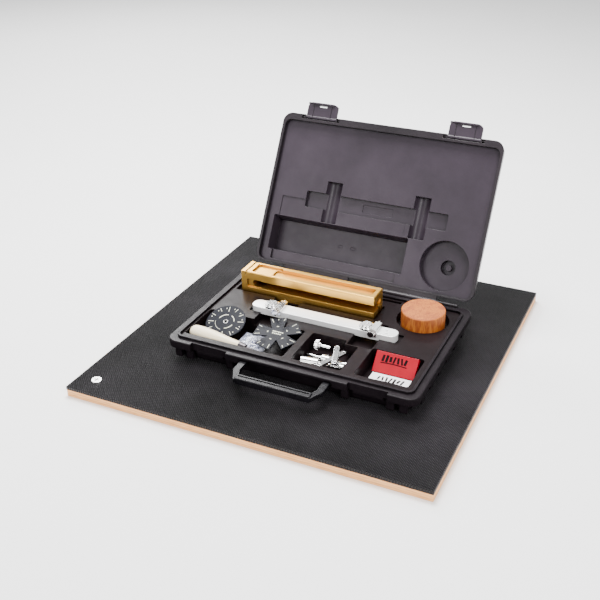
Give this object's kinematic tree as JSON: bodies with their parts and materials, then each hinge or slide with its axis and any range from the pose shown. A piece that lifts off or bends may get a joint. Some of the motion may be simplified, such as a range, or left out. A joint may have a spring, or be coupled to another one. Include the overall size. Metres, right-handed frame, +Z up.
{
  "type": "gasket cutter kit",
  "caption": "Open hinged tool case on a square cutting board, holding a cutter beam, cutter arm with heads, round wooden block, awl, templates, bag and blade cartons.",
  "frame": {"origin": "middle of the flat underside of the square cutting board", "axes": "+Z up out of the board, +Y towards the hinge of the case and the leaning lid, +X to the right along the front edge of the board"},
  "size_m": [0.6096, 0.6174, 0.331],
  "materials": {
    "plywood": "satin",
    "mat_rubber": "embossed",
    "steel": "satin",
    "case_plastic": "satin",
    "latch_plastic": "satin",
    "gold_anodised": "satin",
    "chrome": "polished",
    "maple": "satin",
    "handle_wood": "varnished",
    "dark_steel": "satin",
    "disc_plastic": "gloss",
    "template_plastic": "gloss",
    "bag_film": "gloss",
    "red_card": "gloss",
    "white_card": "gloss"
  },
  "bodies": {
    "board": {"board_core": "plywood", "cutting_mat": "mat_rubber", "board_screw": "steel"},
    "case": {"case_base": "case_plastic", "tray_liner": "case_plastic", "hinge_pin_left": "steel", "hinge_pin_right": "steel"},
    "lid": {"case_lid": "case_plastic", "lid_liner": "case_plastic", "latch_pin_left": "steel", "latch_pin_right": "steel"},
    "latch_l": {"latch_left": "latch_plastic"},
    "latch_r": {"latch_right": "latch_plastic"},
    "handle": {"carry_handle": "latch_plastic"},
    "beam": {"beam_body": "gold_anodised", "beam_end_block": "gold_anodised", "beam_end_screws": "steel"},
    "arm": {"arm_bar": "chrome"},
    "head_l": {"arm_head_left": "chrome"},
    "head_r": {"arm_head_right": "chrome"},
    "clamp_l": {"clamp_screw_left": "chrome"},
    "clamp_r": {"clamp_screw_right": "chrome"},
    "block": {"wooden_block": "maple"},
    "awl": {"awl_handle": "handle_wood", "awl_ferrule": "dark_steel", "awl_blade": "dark_steel"},
    "dial": {"dial_disc": "disc_plastic"},
    "bag": {"parts_bag": "bag_film"},
    "template": {"star_template": "template_plastic"},
    "hardware": {"holder_front": "chrome", "holder_middle": "chrome", "holder_back": "chrome", "centre_pin": "chrome"},
    "thumb": {"thumb_screw": "chrome"},
    "link_lower": {"link_bar_long": "chrome"},
    "link_upper": {"link_bar_short": "chrome"},
    "red_pack": {"carton_red": "red_card"},
    "white_pack": {"carton_white": "white_card"}
  },
  "joints": [
    {"name": "case_lift", "type": "slide", "parent": "board", "child": "case", "axis": [0, 0, 1], "range_m": [0, 0.25]},
    {"name": "lid_hinge", "type": "hinge", "parent": "case", "child": "lid", "pos_m": [0.011, 0.1332, 0.0517], "axis": [-1, 0, 0], "range_deg": [-120, 0]},
    {"name": "latch_l_pivot", "type": "hinge", "parent": "lid", "child": "latch_l", "pos_m": [-0.128, 0.2842, 0.30423], "axis": [-1, 0, 0], "range_deg": [-90, 30]},
    {"name": "latch_r_pivot", "type": "hinge", "parent": "lid", "child": "latch_r", "pos_m": [0.15, 0.2842, 0.30423], "axis": [-1, 0, 0], "range_deg": [-90, 30]},
    {"name": "handle_pivot", "type": "hinge", "parent": "case", "child": "handle", "pos_m": [0.011, -0.16, 0.0425], "axis": [-1, 0, 0], "range_deg": [-18.5, 8]},
    {"name": "beam_lift", "type": "slide", "parent": "case", "child": "beam", "axis": [0, 0, 1], "range_m": [0, 0.09]},
    {"name": "arm_lift", "type": "slide", "parent": "case", "child": "arm", "axis": [0, 0, 1], "range_m": [0, 0.08]},
    {"name": "head_l_slide", "type": "slide", "parent": "arm", "child": "head_l", "axis": [1, 0, 0], "range_m": [0, 0.06]},
    {"name": "head_r_slide", "type": "slide", "parent": "arm", "child": "head_r", "axis": [-1, 0, 0], "range_m": [0, 0.06]},
    {"name": "clamp_l_turn", "type": "hinge", "parent": "head_l", "child": "clamp_l", "pos_m": [-0.073, -0.009, 0.0633], "axis": [0, 1, 0], "continuous": true},
    {"name": "clamp_r_turn", "type": "hinge", "parent": "head_r", "child": "clamp_r", "pos_m": [0.103, -0.009, 0.0633], "axis": [0, 1, 0], "continuous": true},
    {"name": "block_lift", "type": "slide", "parent": "case", "child": "block", "axis": [0, 0, 1], "range_m": [0, 0.06]},
    {"name": "awl_lift", "type": "slide", "parent": "case", "child": "awl", "axis": [0, 0, 1], "range_m": [0, 0.08]},
    {"name": "dial_lift", "type": "slide", "parent": "case", "child": "dial", "axis": [0, 0, 1], "range_m": [0, 0.08]},
    {"name": "bag_lift", "type": "slide", "parent": "case", "child": "bag", "axis": [0, 0, 1], "range_m": [0, 0.05]},
    {"name": "template_lift", "type": "slide", "parent": "bag", "child": "template", "axis": [0, 0, 1], "range_m": [0, 0.05]},
    {"name": "hardware_lift", "type": "slide", "parent": "case", "child": "hardware", "axis": [0, 0, 1], "range_m": [0, 0.05]},
    {"name": "link_lower_lift", "type": "slide", "parent": "hardware", "child": "link_lower", "axis": [0, 0, 1], "range_m": [0, 0.03]},
    {"name": "link_upper_lift", "type": "slide", "parent": "link_lower", "child": "link_upper", "axis": [0, 0, 1], "range_m": [0, 0.03]},
    {"name": "thumb_screw_lift", "type": "slide", "parent": "case", "child": "thumb", "axis": [0, 0, 1], "range_m": [0, 0.08]},
    {"name": "red_pack_lift", "type": "slide", "parent": "case", "child": "red_pack", "axis": [0, 0, 1], "range_m": [0, 0.08]},
    {"name": "white_pack_lift", "type": "slide", "parent": "case", "child": "white_pack", "axis": [0, 0, 1], "range_m": [0, 0.08]}
  ]
}
